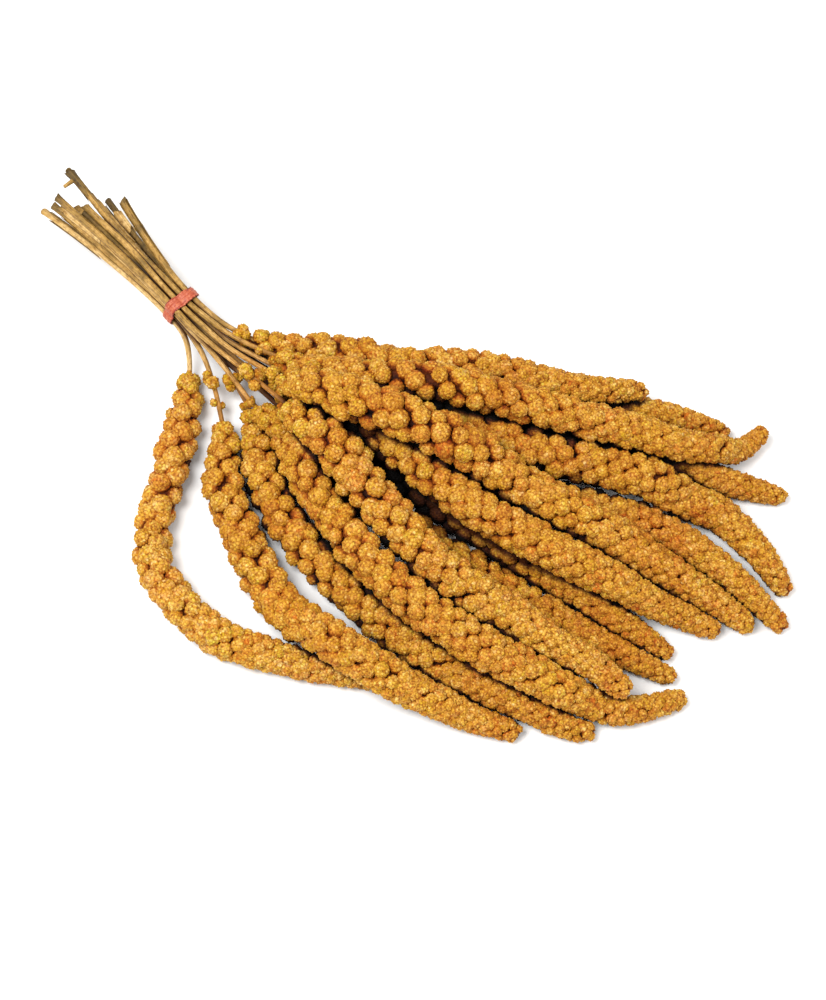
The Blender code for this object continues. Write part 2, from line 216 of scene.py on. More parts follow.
# Parts the sprays as the solids are parted: stations that are too close push each other away, heads
# sink, all lean back to their course, and a bell curve along each spray spreads every move.
def makeRoom(strands):
    points = np.concatenate([s["points"] for s in strands])
    course = points.copy()
    radius = np.concatenate([s["radius"] for s in strands])
    along = np.concatenate([s["along"] for s in strands])
    least = leastDistances(strands, radius, along)
    freedom = np.clip((along - tie["halfLength"]) / settling["freeAfter"], 0, 1)[:, None]
    sinking = np.where(radius > tie["stalkRadius"], settling["sink"], 0.0)
    ends = np.cumsum([0] + [len(s["along"]) for s in strands])
    spans = [slice(a, b) for a, b in zip(ends[:-1], ends[1:], strict=True)]
    spread = []
    for span in spans:
        apart = (along[span][:, None] - along[span][None]) / settling["spreading"]
        weight = np.exp(-0.5 * apart ** 2)
        spread.append(weight / weight.sum(1)[:, None])
    for step in range(settling["rounds"]):
        strength = settling["calmShare"] if step > settling["rounds"] * settling["calmAfter"] else 1.0
        square = (points ** 2).sum(1)
        apart = square[:, None] + square[None] - 2 * points @ points.T
        one, other = np.nonzero(apart < least ** 2)
        distance = np.sqrt(np.maximum(apart[one, other], 1e-6))
        share = (least[one, other] - distance) / (2 * distance)
        move = np.zeros_like(points)
        np.add.at(move, one, (points[one] - points[other]) * share[:, None])
        touching = np.bincount(one, minlength=len(points))
        move *= (np.minimum(touching, settling["mostPushes"]) / np.maximum(touching, 1))[:, None]
        move[:, 2] += np.clip(settling["pressed"] * radius - points[:, 2] - move[:, 2], 0, None)
        move[:, 2] -= sinking * strength
        move += (course - points) * settling["leanBack"] * strength
        for span, weight in zip(spans, spread, strict=True):
            points[span] += settling["overstep"] * (weight @ move[span]) * freedom[span]
    for strand, span in zip(strands, spans, strict=True):
        fine = smoothCurve(points[span], tieAlong, settling["fineSteps"])
        strand["foot"] = np.interp(strand["foot"], along[span], distancesAlong(points[span]))
        strand["points"] = fine
        strand["along"] = distancesAlong(fine)


# The direction ahead and two directions across it at each point of a course, carried without twist.
def carriedFrames(points):
    ahead = np.gradient(points, axis=0)
    ahead /= np.linalg.norm(ahead, axis=1)[:, None]
    side = np.cross(up, ahead[0])
    sides = []
    for direction in ahead:
        side = side - direction * (side @ direction)
        side = side / np.linalg.norm(side)
        sides.append(side)
    sides = np.array(sides)
    return ahead, sides, np.cross(ahead, sides)


# The way out at an angle round a course, from the two directions across it.
def wayOut(side, other, angle):
    return side * np.cos(angle)[..., None] + other * np.sin(angle)[..., None]


# Two triangles for each gap between rings of corners, first all of one half and then of the other.
def ringFaces(rings, sides):
    k, j = np.meshgrid(np.arange(rings - 1), np.arange(sides), indexing="ij")
    a = (k * sides + j).ravel()
    b = (k * sides + (j + 1) % sides).ravel()
    return np.vstack([np.stack([a, b, b + sides], 1), np.stack([a, b + sides, a + sides], 1)])


# The same with both ends closed, each by a fan round a pole. The poles come after the rings.
def tubeFaces(rings, sides):
    turn = np.arange(sides)
    after = (turn + 1) % sides
    pole = np.full(sides, rings * sides)
    last = (rings - 1) * sides
    return np.vstack([ringFaces(rings, sides), np.stack([pole, after, turn], 1),
                      np.stack([pole + 1, last + turn, last + after], 1)])


# A tube of rings along a course, with a pole at either end.
def roundTube(points, radius, side, other, sides):
    angle = np.arange(sides) * fullTurn / sides
    body = points[:, None] + wayOut(side[:, None], other[:, None], angle) * radius[:, None, None]
    return np.vstack([body.reshape(-1, 3), points[:1], points[-1:]]), tubeFaces(len(points), sides)


# Strings shapes together, row by row of all that they hold, and counts their faces on.
def joinShapes(shapes):
    joined = {key: np.concatenate([shape[key] for shape in shapes]) for key in shapes[0]}
    if "faces" in joined:
        firsts = np.cumsum([0] + [len(shape["corners"]) for shape in shapes[:-1]])
        counted = [shape["faces"] + first for shape, first in zip(shapes, firsts, strict=True)]
        joined["faces"] = np.concatenate(counted)
    return joined


def addObject(name, data):
    thing = bpy.data.objects.new(name, data)
    bpy.context.scene.collection.objects.link(thing)
    return thing


# Puts whole arrays of corners and triangles into a mesh, in the part's frame.
def makePiece(name, corners, faces, material, node):
    mesh = bpy.data.meshes.new(name)
    mesh.vertices.add(len(corners))
    mesh.vertices.foreach_set("co", ((corners - planCentre) * metre).astype(np.float32).ravel())
    mesh.loops.add(faces.size)
    mesh.loops.foreach_set("vertex_index", faces.ravel().astype(np.int32))
    mesh.polygons.add(len(faces))
    mesh.polygons.foreach_set("loop_start", np.arange(0, faces.size, 3, dtype=np.int32))
    mesh.polygons.foreach_set("use_smooth", np.ones(len(faces), bool))
    mesh.update(calc_edges=True)
    mesh.validate()
    mesh.materials.append(material)
    piece = addObject(name, mesh)
    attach(piece, "root")
    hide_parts(node)
    return piece


def addAttributes(piece, domain, **attributes):
    for name, values in attributes.items():
        layer = piece.data.attributes.new(name, "FLOAT", domain)
        layer.data.foreach_set("value", np.asarray(values, np.float32))


def linear(hexColour):
    channels = [int(hexColour[i:i + 2], 16) / 255 for i in (1, 3, 5)]
    return tuple(c / 12.92 if c <= 0.04045 else ((c + 0.055) / 1.055) ** 2.4 for c in channels) + (1.0,)


# Adds one node. Settings are its attributes, and sockets, by name or as n and a number, are values or
# the outputs they come from.
def addNode(tree, kind, settings=None, **sockets):
    node = tree.nodes.new("ShaderNode" + kind)
    for name, value in (settings or {}).items():
        setattr(node, name, value)
    for name, value in sockets.items():
        key = int(name[1:]) if name[0] == "n" and name[1:].isdigit() else name.replace("_", " ")
        socket = node.inputs[key]
        if isinstance(value, bpy.types.NodeSocket):
            tree.links.new(value, socket)
        else:
            socket.default_value = value
    return node


# Lays colours over one another. Each layer reads its own from a ramp, by what it follows, or is one
# flat colour, and multiplies what lies below it by its share. The lowest counts in full.
def layColours(tree, layers):
    colour = None
    for share, follows, stops in layers:
        if follows is None:
            layer = linear(stops)
        else:
            node = addNode(tree, "ValToRGB", n0=follows)
            ramp = node.color_ramp.elements
            ramp.remove(ramp[1])
            ramp[0].position = stops[0][0]
            ramp[0].color = linear(stops[0][1])
            for place, tint in stops[1:]:
                ramp.new(place).color = linear(tint)
            layer = node.outputs["Color"]
        if colour is not None:
            layer = addNode(tree, "Mix", {"data_type": "RGBA", "blend_type": "MULTIPLY"},
                            n0=share, n6=colour, n7=layer).outputs[2]
        colour = layer
    return colour


def newMaterial(name, roughness, specular):
    material = bpy.data.materials.new(name)
    material.use_nodes = True
    tree = material.node_tree
    shader = tree.nodes["Principled BSDF"]
    shader.inputs["Roughness"].default_value = roughness
    shader.inputs["Specular IOR Level"].default_value = specular
    return material, tree, shader


# Joins a colour to the shader, and a height as a bump of the given strength and depth in metres.
def dressShader(tree, shader, colour, height, strength, depth):
    tree.links.new(colour, shader.inputs["Base Color"])
    bump = addNode(tree, "Bump", Strength=strength, Distance=depth, Height=height)
    tree.links.new(bump.outputs["Normal"], shader.inputs["Normal"])


# Husked millet grain, dried on the head: matt, dusty husks of a golden orange that differs from
# grain to grain, rust brown where they meet, partly their own colour and partly painted shade, and
# painted shade near black down between the lobes and deep in the bunch.
def driedGrain():
    material, tree, shader = newMaterial("driedMilletGrain", 0.75, 0.18)
    tone, hue, height, outness, daylight = [
        addNode(tree, "Attribute", {"attribute_name": name}).outputs["Fac"]
        for name in ("grainTone", "lobeHue", "grainHeight", "outness", "daylight")]
    place = addNode(tree, "TexCoord").outputs["Object"]
    # Cells 1.7 mm apart are the single seeds, which are finer than the faces of the mesh.
    seeds = addNode(tree, "TexVoronoi", Vector=place, Scale=590.0)
    apart = addNode(tree, "SeparateColor", n0=seeds.outputs["Color"])
    tone = addNode(tree, "Mix", n0=0.5, n2=tone, n3=apart.outputs[0]).outputs[0]
    hue = addNode(tree, "Mix", n0=0.5, n2=hue, n3=apart.outputs[1]).outputs[0]
    # Patches 36 mm wide ripened together, and chaff of 1.6 mm and finer breaks the seeds' colour up.
    blotch = addNode(tree, "TexNoise", Vector=place, Scale=28.0, Detail=2.0)
    chaff = addNode(tree, "TexNoise", Vector=place, Scale=620.0, Detail=4.0, Roughness=0.75)
    colour = layColours(tree, [
        (1.0, tone, [(0.0, "#b67d2f"), (0.22, "#cb9b3e"), (0.5, "#daaf4d"), (0.75, "#e5c370"),
                     (1.0, "#eddaa0")]),
        # From unripe and greenish to rust red.
        (1.0, hue, [(0.12, "#e8ee84"), (0.38, "#fcf6c8"), (0.62, "#ffffff"), (0.92, "#f4b27a")]),
        (0.55, blotch.outputs["Fac"], [(0.3, "#f0ca94"), (0.5, "#ffffff"), (0.7, "#fff6b8")]),
        # Painted shade in the pits between seeds, the seams between grains, the gaps between lobes and on the
        # lobes' lower sides; in the pits and seams it is partly the husks' own rust brown too.
        (0.45, seeds.outputs["Distance"], [(0.42, "#ffffff"), (0.62, "#e2bb80"), (0.85, "#a06a34")]),
        (0.4, height, [(0.0, "#a87440"), (0.2, "#dfb98a"), (0.5, "#ffffff")]),
        (1.0, outness, [(0.0, "#472510"), (0.24, "#a9733e"), (0.45, "#ebca98"), (0.7, "#fcfaf6")]),
        (0.8, chaff.outputs["Fac"], [(0.40, "#a87444"), (0.5, "#f6eacb"), (0.6, "#fffff0")]),
        # Painted shade, by how much sky reaches it: grain deep in the bunch is darker, and near black
        # where the heads close over it.
        (1.0, daylight, [(0.12, "#0c0a0e"), (0.27, "#5e4028"), (0.48, "#ffffff")])])
    # The attribute falls evenly from a grain's top to its edge, and a square root rounds it.
    dome = addNode(tree, "Math", {"operation": "POWER"}, n0=height, n1=0.5)
    beads = addNode(tree, "Math", {"operation": "MULTIPLY_ADD"},
                    n0=seeds.outputs["Distance"], n1=-0.9, n2=dome.outputs[0])
    # Down on the husks, under 1 mm.
    fuzz = addNode(tree, "TexNoise", Vector=place, Scale=1400.0, Detail=2.0)
    rough = addNode(tree, "Math", {"operation": "MULTIPLY_ADD"},
                    n0=fuzz.outputs["Fac"], n1=0.4, n2=beads.outputs[0])
    dressShader(tree, shader, colour, rough.outputs[0], 0.55, 0.0007)
    return material


# Dried grass culm: weathered straw that has lost its wax, dull and olive brown where it is old, with
# fine lengthwise fibres and grey brown mildew. Painted shade darkens it to dark olive where stalks lie
# close together or little sky reaches, and down in the hollow of each cut end.
def dryStraw():
    material, tree, shader = newMaterial("dryStrawCulm", 0.6, 0.28)
    uv = addNode(tree, "TexCoord").outputs["UV"]
    place = addNode(tree, "TexCoord").outputs["Object"]
    tone, ripe, daylight = [addNode(tree, "Attribute", {"attribute_name": name}).outputs["Fac"]
                            for name in ("strawTone", "ripeness", "daylight")]
    # UV counts the turn round the culm and its length in millimetres: fibres lie 0.3 mm apart.
    stretched = addNode(tree, "Mapping", Vector=uv, Scale=(40.0, 0.05, 1.0))
    fibre = addNode(tree, "TexNoise", Vector=stretched.outputs[0], Scale=1.0, Detail=3.0)
    # Clouds 11 mm wide, and mildew drawn out along the culm, 1.3 mm wide and 3.3 mm long.
    cloud = addNode(tree, "TexNoise", Vector=place, Scale=90.0, Detail=3.0)
    drawnOut = addNode(tree, "Mapping", Vector=uv, Scale=(9.0, 0.3, 1.0))
    mildew = addNode(tree, "TexNoise", Vector=drawnOut.outputs[0], Scale=1.0, Detail=4.0,
                     Roughness=0.7)
    for pattern, weight in ((fibre, 0.7), (cloud, 0.5)):
        tone = addNode(tree, "Math", {"operation": "MULTIPLY_ADD"},
                       n0=pattern.outputs["Fac"], n1=weight, n2=tone).outputs[0]
    colour = layColours(tree, [
        (1.0, tone, [(0.25, "#57441f"), (0.42, "#896a31"), (0.6, "#ba9049"), (0.8, "#e0bf82")]),
        (ripe, None, "#f0bf62"),  # golden where it comes near its head
        (0.7, mildew.outputs["Fac"], [(0.36, "#8a6c3a"), (0.54, "#ffffff")]),
        # Painted shade, by how much sky reaches the straw and how close its neighbours lie.
        (1.0, daylight, [(0.1, "#241a10"), (0.42, "#7d6034"), (0.74, "#ffffff")])])
    dressShader(tree, shader, colour, fibre.outputs["Fac"], 0.5, 0.0003)
    return material


# Natural rubber band, faded coral red: satin, with a dust of 1.4 mm specks, and painted shade in its
# creases and folds, along its edges and on its underside.
def coralRubber():
    material, tree, shader = newMaterial("coralRubberBand", 0.5, 0.45)
    place = addNode(tree, "TexCoord").outputs["Object"]
    crease = addNode(tree, "Attribute", {"attribute_name": "crease"}).outputs["Fac"]
    dust = addNode(tree, "TexNoise", Vector=place, Scale=700.0, Detail=4.0)
    colour = layColours(tree, [
        (1.0, dust.outputs["Fac"], [(0.3, "#a0462c"), (0.5, "#b25434"), (0.75, "#c87b56")]),
        # Painted shade in the creases and folds, along the edges and on the underside.
        (1.0, crease, [(0.0, "#7a2a1e"), (0.35, "#d98878"), (0.6, "#ffffff")])])
    dressShader(tree, shader, colour, dust.outputs["Fac"], 0.4, 0.0003)
    return material


balls = {  # balls of grains, which the lobes are copies of
    "seed": 40,
    "sizes": (64, 52, 42, 34, 26, 18),  # how many grains are in one
    "kinds": 3,
    "grain": 2.38,  # from grain to grain
    "widest": math.radians(116),  # from the pole to the last grains round the root
    "rankStray": 0.35,
    "turnStray": 0.9,
    "lumps": 3,  # broad swellings that make a ball uneven
    "leanest": 0.94,
    "lumpHeight": 0.16,
    "hollowDepth": 0.6,
    "grainStand": (-0.06, 0.05),  # how far a top stands in or out, by the ball's radius
    "pinch": 0.35,  # how much slimmer the inner end gets
    "tone": (0.5, 0.2, 0.13),  # the middle, and how far grains and whole lobes stray from it
    "redder": 0.6,  # how much darker the redder lobes are
}


# A ball of grains: the grains' tops are spread over the ball by the golden angle, down to the widest
# angle from its pole, and one more closes it at its root. Each grain is a fan of small faces from its
# top to the hollows, which lie in the middle of every triangle of the tight skin over the tops.
def grainBall(count, kind):
    draw = np.random.default_rng(balls["seed"] + kind)
    rank = np.arange(count) + 0.5 + draw.normal(0, balls["rankStray"], count)
    height = 1 - (1 - math.cos(balls["widest"])) * np.clip(rank / count, 0, 1)
    turn = (np.arange(count) + 0.5) * goldenAngle + draw.normal(0, balls["turnStray"], count) / np.sqrt(count)
    rim = np.sqrt(1 - height ** 2)
    tops = np.vstack([np.stack([rim * np.cos(turn), rim * np.sin(turn), height], 1), [0, 0, -1]])
    knobs = draw.normal(0, 1, (balls["lumps"], 3))
    knobs /= np.linalg.norm(knobs, axis=1)[:, None]
    lumps = balls["leanest"] + balls["lumpHeight"] * (np.clip(tops @ knobs.T, 0, 1) ** 3).max(1)
    skin = bmesh.new()
    for top in tops:
        skin.verts.new(top)
    bmesh.ops.convex_hull(skin, input=skin.verts[:])
    skin.verts.index_update()
    net = np.array([[v.index for v in face.verts] for face in skin.faces])
    skin.free()
    outward = np.einsum("ij,ij->i", np.cross(tops[net[:, 1]] - tops[net[:, 0]],
                                             tops[net[:, 2]] - tops[net[:, 0]]), tops[net].mean(1))
    net[outward < 0] = net[outward < 0][:, ::-1]
    hollows = tops[net].mean(1)
    hollows /= np.linalg.norm(hollows, axis=1)[:, None]
    owner = {}
    for face, (a, b, c) in enumerate(net):
        owner.update({(a, b): face, (b, c): face, (c, a): face})
    fans = [(a, len(tops) + owner[(b, a)], len(tops) + face) for (a, b), face in owner.items()]
    return {"tops": tops * lumps[:, None], "hollows": hollows * lumps[net].mean(1)[:, None],
            "fans": np.array(fans)}


grainBalls = {(count, kind): grainBall(count, kind)
              for count in balls["sizes"] for kind in range(balls["kinds"])}


# Turns copies of a ball of grains into lobes, with one row of middles, outward axes, roots, half widths
# and hues for each. A lobe's inner half is pinched, and its inner end is drawn out to its root.
def raiseLobes(ball, lobes, draw):
    axis, half = lobes["axis"], lobes["half"][:, None, None]
    count, grains = len(axis), len(ball["tops"])
    # A direction that isn't near the axis, to find one across it.
    helper = np.where(np.abs(axis[:, 2:]) < 0.9, up[None], np.array([[1.0, 0, 0]]))
    across = np.cross(helper, axis)
    across /= np.linalg.norm(across, axis=1)[:, None]
    first = wayOut(across, np.cross(axis, across), draw.uniform(0, fullTurn, count))
    second = np.cross(axis, first)
    grainTops = 1 + draw.uniform(*balls["grainStand"], (count, grains))
    local = np.concatenate([ball["tops"][None] * grainTops[:, :, None],
                            ball["hollows"][None] * (1 - balls["hollowDepth"] / half)], 1)
    pinch = 1 - balls["pinch"] * np.clip(-local[:, :, 2], 0, 1)
    corners = (first[:, None] * (local[:, :, :1] * pinch[:, :, None])
               + second[:, None] * (local[:, :, 1:2] * pinch[:, :, None])
               + axis[:, None] * local[:, :, 2:]) * half + lobes["middle"][:, None]
    corners[:, grains - 1] = lobes["root"]
    middle, grainStray, lobeStray = balls["tone"]
    tone = draw.normal(middle, grainStray, (count, grains)) + draw.normal(0, lobeStray, (count, 1))
    tone += (0.5 - lobes["hue"])[:, None] * balls["redder"]
    height = np.zeros((count, local.shape[1]))
    height[:, :grains] = 1.0
    offsets = (np.arange(count) * local.shape[1])[:, None, None]
    return {"corners": corners.reshape(-1, 3), "faces": (ball["fans"][None] + offsets).reshape(-1, 3),
            "tone": tone[:, ball["fans"][:, 0]].ravel(), "hue": np.repeat(lobes["hue"], len(ball["fans"])),
            "height": height.ravel(), "facing": local[:, :, 2].ravel()}


skyGrid = {
    "cell": 3.0,
    "low": (-20.0, -190.0, 0.0),
    "cells": (150, 116, 34),
    "around": 5,  # cells on either side of a course, which is more than a head's radius
    "every": 2.0,
    "stops": 0.85,  # how much of the light a filled cell keeps
    "tilts": (0.0, 35.0, 60.0),  # from straight down
    "bearings": (1, 6, 8),  # how many there are at each tilt
    "firstBearing": 0.3,
}


# How much of the sky reaches each cell of a grid over the bunch. A head fills the cells within its
# radius. Light comes down from a few directions, one layer of cells at a time, and each filled cell
# stops most of what would pass it.
def makeSky(strands):
    cell, low, shape = skyGrid["cell"], np.array(skyGrid["low"]), skyGrid["cells"]
    filled = np.zeros(shape)
    reach = np.arange(-skyGrid["around"], skyGrid["around"] + 1)
    around = np.stack(np.meshgrid(reach, reach, reach, indexing="ij"), -1).reshape(-1, 3)
    for strand in strands:
        length = strand["along"][-1] - strand["foot"]
        at = np.arange(-strand["foot"], length, skyGrid["every"])
        points = readAt(strand["foot"] + at, strand["along"], strand["points"])
        radius = np.where(at < 0, tie["stalkRadius"], headRadius(at, length, strand["full"]))
        cells = np.floor((points - low) / cell).astype(int)[:, None] + around[None]
        apart = np.linalg.norm((cells + 0.5) * cell + low - points[:, None], axis=2)
        inside = (apart < radius[:, None]) & (cells >= 0).all(2) & (cells < shape).all(2)
        filled[tuple(cells[inside].T)] = 1.0
    sky = np.zeros(shape)
    total = 0.0
    for tilt, count in zip(skyGrid["tilts"], skyGrid["bearings"], strict=True):
        for k in range(count):
            bearing = fullTurn * (k + skyGrid["firstBearing"]) / count
            drift = math.tan(math.radians(tilt)) * np.array([math.cos(bearing), math.sin(bearing)])
            weight = math.cos(math.radians(tilt))
            light = np.ones(shape[:2])
            for layer in range(shape[2] - 1, -1, -1):
                sky[:, :, layer] += light * weight
                light = light * (1 - skyGrid["stops"] * filled[:, :, layer])
                step = np.round((layer + 1) * drift) - np.round(layer * drift)
                light = np.roll(light, step.astype(int), axis=(0, 1))
            total += weight
    return sky / total


# The sky at any place, from the eight cells round it.
def sampleSky(sky, points):
    at = (points - skyGrid["low"]) / skyGrid["cell"] - 0.5
    base = np.floor(at).astype(int)
    part = at - base
    result = np.zeros(len(points))
    for corner in range(8):
        bits = np.array([corner & 1, corner >> 1 & 1, corner >> 2 & 1])
        cells = np.clip(base + bits, 0, np.array(skyGrid["cells"]) - 1)
        weight = np.where(bits, part, 1 - part).prod(1)
        result += weight * sky[tuple(cells.T)]
    return result


heads = {
    "seed": 500,
    "fuller": 1.06,  # how far the outermost grains stand past the solid's outline
    "footFuller": 0.3,  # and how much further they stand at the foot, which fades over the length
    "footLength": 14.0,
    "lobeSpacing": (11.6, 6.6),  # in the foot half and at the tip
    "lobeGirth": (0.55, 0.65),  # half a lobe's width by its spacing, there and there
    "shrinkFrom": 0.30,
    "shrinkTo": 0.92,
    "slimmest": 0.62,  # below this share of the full radius, lobes shrink no further with the girth
    "packing": (0.28, 0.5),  # how far in their middles lie, and how near the rachis, by their spacing
    "ends": (1.0, 1.5),  # kept free at foot and tip
    "placeStray": (0.07, 0.09),  # along, by the spacing, and round
    "forwardLean": math.radians(18),
    "leanStray": 0.25,
    "tipLean": math.radians(40),
    "tipLeanSpan": (9.0, 8.0),  # from how far before the tip, and over what length
    "sizeStray": 0.09,
    "standStray": 0.045,
    "tipCalm": 0.6,  # how much less the lobes stray at the tip
    "mostReach": 0.62,  # half a lobe's width at most, by the head's radius
    "inset": 0.97,  # how far in a lobe's middle lies, by half its width
    "middleForward": 0.3,  # the lean carries its middle forward, by half its width,
    "rootBack": 0.6,  # and its root back along the rachis, up to the most lean in radians
    "mostLean": 0.9,
    "tipLobe": (3.0, 4.0, 3.3),  # how far before the tip, how long its root, and half its width
    "hue": (0.5, 0.13),
    "greener": 0.42,  # how much greener the foot is, which fades over the length
    "greenLength": 16.0,
    "bleachAndShade": {1: -0.2, 2: -0.22, 3: 0.45, 4: 0.1, 11: 0.22, 14: 0.1},  # some are lighter; the two lying lowest under the others are darker, as painted shade
    "aboveGround": 0.12,
}

looseLobes = {  # small ones on the stalk below the foot
    "count": (7, 12),  # under the second number
    "above": 3.0,  # the foot, where they begin, and over what length they thin out
    "length": 20.0,
    "thinning": 1.6,
    "barer": {3: 0.3},  # those of one head end soon
    "half": (5.0, 2.4, 0.35),  # half the width at the foot, how much less at the far end, and the stray
    "outward": 0.8,
    "onward": 0.6,
    "stand": 0.75,
    "strays": {4: 31.0, 5: 24.0, 11: 30.0},  # how far below the foot some heads have a small cluster
    "clusterCount": 5,
    "clusterSpread": 3.0,
    "clusterAway": 0.45,
}

rachis = {
    "share": 0.5,  # of the head's radius
    "least": 1.5,
    "rings": 46,
    "sides": 8,
    "span": (1.0, 4.0),  # kept free at foot and tip
    "tone": 0.2,
    "hue": 0.7,
    "height": 0.3,
}

shading = {
    "coarse": 6,  # every so many of the fine steps are searched for the nearest
    "batches": 12,
    "leastRadius": 4.0,
    "outFrom": 0.4,  # by the radius: up to there a corner counts as deep
    "outOver": 0.5,
    "outlined": (0.57, 0.30),  # how dark a lobe's sides are, in the foot half and at the tip
    "outlinedAt": (0.3, 0.8),
    "facing": (0.15, 0.85),  # how far below its middle a lobe is darkest, and over what height it clears
    "skyAbove": 2.5,
}


# Where the lobes of a head sit. Each follows the last by the golden angle, and their rows close up as
# the lobes shrink towards the tip: the distance grows by a lobe's area over the girth at that place.
def placeLobes(fine, full, draw):
    length = fine[-1]
    girth = headRadius(fine, length, full) * heads["fuller"]
    girth *= 1 + heads["footFuller"] * np.exp(-fine / heads["footLength"])
    wide, narrow = heads["lobeSpacing"]
    shrink = smoothStep((fine / length - heads["shrinkFrom"]) / (heads["shrinkTo"] - heads["shrinkFrom"]))
    spacing = (wide + (narrow - wide) * shrink) * np.clip(girth / full, heads["slimmest"], 1) ** 0.5
    packing = np.maximum(girth - heads["packing"][0] * spacing, heads["packing"][1] * spacing)
    number = fullTurn * packing / (closePacking * spacing ** 2)
    counted = np.r_[0.0, np.cumsum((number[1:] + number[:-1]) / 2 * np.diff(fine))]
    total = int(counted[-1])
    rank = np.arange(total) + 0.5
    at = np.interp(rank, counted, fine)
    size = np.interp(at, fine, spacing)
    along, around = heads["placeStray"]
    at = np.clip(at + draw.normal(0, along, total) * size, heads["ends"][0], length - heads["ends"][1])
    turn = rank * goldenAngle + draw.uniform(0, fullTurn) + draw.normal(0, around, total)
    return at, turn, size, np.interp(at, fine, girth)


# The lobes of a head: each stands out from the rachis to the outline and leans towards the tip, and
# one more at the very tip looks straight ahead.
def standLobes(fine, full, centre, frames, draw):
    at, turn, spacing, reach = placeLobes(fine, full, draw)
    count = len(at)
    tangent, side, other = (readAt(at, fine, directions) for directions in frames)
    radial = wayOut(side, other, turn)
    tipFrom, tipOver = heads["tipLeanSpan"]
    lean = heads["forwardLean"] * (1 + draw.normal(0, heads["leanStray"], count))
    lean = lean + smoothStep((at - fine[-1] + tipFrom) / tipOver) * heads["tipLean"]
    wide, narrow = heads["lobeSpacing"]
    tipward = np.clip((wide - spacing) / (wide - narrow), 0, 1)
    calm = 1 - heads["tipCalm"] * tipward
    early, late = heads["lobeGirth"]
    girthShare = early + (late - early) * tipward
    half = spacing * girthShare * (1 + draw.normal(0, heads["sizeStray"], count) * calm)
    half = np.minimum(half, reach * heads["mostReach"])
    stand = reach * (1 + draw.normal(0, heads["standStray"], count) * calm) - half * heads["inset"]
    axisPoint = readAt(at, fine, centre)
    forward = np.sin(lean) * half * heads["middleForward"]
    back = stand * np.tan(np.minimum(lean, heads["mostLean"])) * heads["rootBack"]
    onward = frames[0][-1]
    before, rootLength, tipHalf = heads["tipLobe"]
    tip = centre[-1] - onward * before
    return {"middle": np.vstack([axisPoint + radial * stand[:, None] + tangent * forward[:, None], tip]),
            "axis": np.vstack([radial * np.cos(lean)[:, None] + tangent * np.sin(lean)[:, None], onward]),
            "root": np.vstack([axisPoint - tangent * back[:, None], tip - onward * rootLength]),
            "half": np.r_[half, tipHalf], "at": np.r_[at, fine[-1]]}


# Small loose lobes round the stalk, fewer and smaller the further they sit below the foot, and on some
# stalks a cluster of them by itself.
def looseOnStalk(index, strand, frames, draw):
    count = draw.integers(*looseLobes["count"])
    away = draw.uniform(0, 1, count) ** looseLobes["thinning"]
    length = looseLobes["length"] * looseLobes["barer"].get(index, 1.0)
    below = strand["foot"] + looseLobes["above"] - away * length
    if index in looseLobes["strays"]:
        some = looseLobes["clusterCount"]
        spread = draw.normal(0, looseLobes["clusterSpread"], some)
        below[:some] = strand["foot"] - looseLobes["strays"][index] + spread
        away[:some] = looseLobes["clusterAway"]
    down = readAt(below, strand["along"], strand["points"])
    ahead, side, other = (direction[0] for direction in frames)
    out = wayOut(side, other, draw.uniform(0, fullTurn, count))
    axis = out * looseLobes["outward"] + ahead * looseLobes["onward"]
    nearFoot, less, stray = looseLobes["half"]
    half = nearFoot - less * away + draw.normal(0, stray, count)
    return {"middle": down + out * (half * looseLobes["stand"])[:, None], "root": down, "half": half,
            "axis": axis / np.linalg.norm(axis, axis=1)[:, None], "at": np.zeros(count)}


# The rachis, which closes the view between the lobes: a tube of half the head's radius.
def makeRachis(fine, full, centre, frames):
    at = np.linspace(rachis["span"][0], fine[-1] - rachis["span"][1], rachis["rings"])
    radius = np.maximum(headRadius(at, fine[-1], full) * rachis["share"], rachis["least"])
    middle, side, other = (readAt(at, fine, rows) for rows in (centre, *frames[1:]))
    corners, faces = roundTube(middle, radius, side, other, rachis["sides"])
    return {"corners": corners, "faces": faces, "tone": np.full(len(faces), rachis["tone"]),
            "hue": np.full(len(faces), rachis["hue"]), "height": np.full(len(corners), rachis["height"]),
            "facing": np.zeros(len(corners))}


# How near each corner lies to the head's outline, from the rachis outwards, less on the sides of its
# lobe, and how much sky reaches the place just outside it.
def shadeHead(corners, facing, fine, full, centre, sky):
    coarse, coarseAt = centre[::shading["coarse"]], fine[::shading["coarse"]]
    nearest = np.concatenate([np.argmin(((batch[:, None] - coarse[None]) ** 2).sum(2), axis=1)
                              for batch in np.array_split(corners, shading["batches"])])
    away = np.linalg.norm(corners - coarse[nearest], axis=1)
    radius = headRadius(coarseAt[nearest], fine[-1], full) * heads["fuller"]
    share = away / np.maximum(radius, shading["leastRadius"])
    outness = np.clip((share - shading["outFrom"]) / shading["outOver"], 0, 1)
    outlined = np.interp(coarseAt[nearest] / fine[-1], shading["outlinedAt"], shading["outlined"])
    turned, over = shading["facing"]
    outness *= 1 - outlined * (1 - smoothStep((facing + turned) / over))
    outward = (corners - coarse[nearest]) / np.maximum(away, 0.1)[:, None]
    return outness, sampleSky(sky, corners + outward * shading["skyAbove"])


